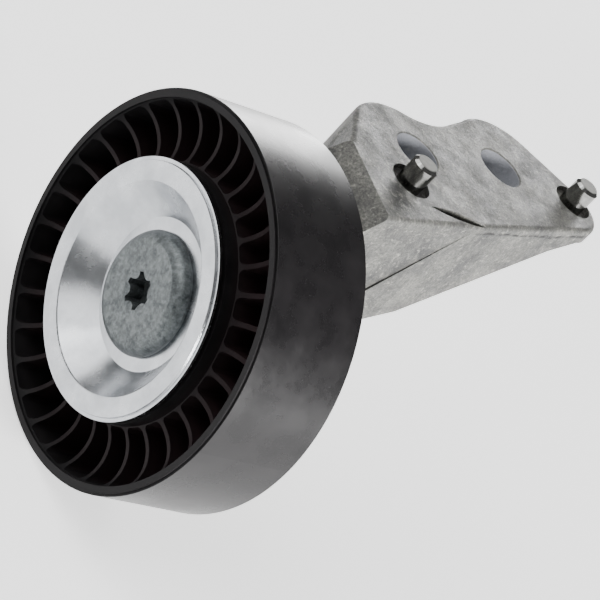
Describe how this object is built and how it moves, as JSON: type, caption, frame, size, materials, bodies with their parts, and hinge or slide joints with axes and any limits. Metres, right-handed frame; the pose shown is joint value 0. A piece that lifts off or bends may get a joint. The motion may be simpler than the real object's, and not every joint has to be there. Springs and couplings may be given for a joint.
{
  "type": "belt idler pulley",
  "caption": "Smooth black belt idler on a sealed ball bearing, bolted to a die-cast mounting bracket with locating dowels.",
  "frame": {"origin": "on the pulley's axis, at the middle of its belt surface", "axes": "+Y along the pulley's axis from its open front towards the bracket; +Z along the outward normal of the bracket's mounting face, the way the dowels point; +X completes a right-handed frame"},
  "size_m": [0.07, 0.0914, 0.0756],
  "materials": {
    "cast_aluminium": "as-cast, matte grain",
    "dowel_steel": "ground",
    "bolt_steel": "grey zinc-flake coat, slightly blotchy",
    "sleeve_steel": "turned",
    "zinc_plate": "zinc-plated pressing, satin",
    "bearing_steel": "ground",
    "ball_steel": "polished",
    "sheet_steel": "cold-rolled sheet",
    "black_plastic": "glass-filled moulding, semi-gloss",
    "seal_rubber": "moulded, matte"
  },
  "bodies": {
    "bracket_body": {"bracket": "cast_aluminium", "front_dowel": "dowel_steel", "rear_dowel": "dowel_steel", "pulley_bolt": "bolt_steel", "spacer_sleeve": "sleeve_steel", "front_dust_cap": "zinc_plate", "bearing_inner_ring": "bearing_steel"},
    "wheel": {"pulley_wheel": "black_plastic", "bearing_outer_ring": "bearing_steel", "front_seal": "seal_rubber", "front_seal_core": "sheet_steel", "rear_seal": "seal_rubber", "rear_seal_core": "sheet_steel"},
    "cage": {"cage_front_half": "sheet_steel", "cage_rear_half": "sheet_steel", "cage_rivets": "sheet_steel", "ball_1": "ball_steel", "ball_2": "ball_steel", "ball_3": "ball_steel", "ball_4": "ball_steel", "ball_5": "ball_steel", "ball_6": "ball_steel", "ball_7": "ball_steel", "ball_8": "ball_steel"}
  },
  "joints": [
    {"name": "pulley_spin", "type": "hinge", "parent": "bracket_body", "child": "wheel", "pos_m": [0, 0, 0], "axis": [0, 1, 0], "continuous": true},
    {"name": "cage_spin", "type": "hinge", "parent": "bracket_body", "child": "cage", "pos_m": [0, 0, 0], "axis": [0, 1, 0], "continuous": true}
  ],
  "couplings": [
    {"joint": "cage_spin", "follows": "pulley_spin", "ratio": 0.6184}
  ]
}
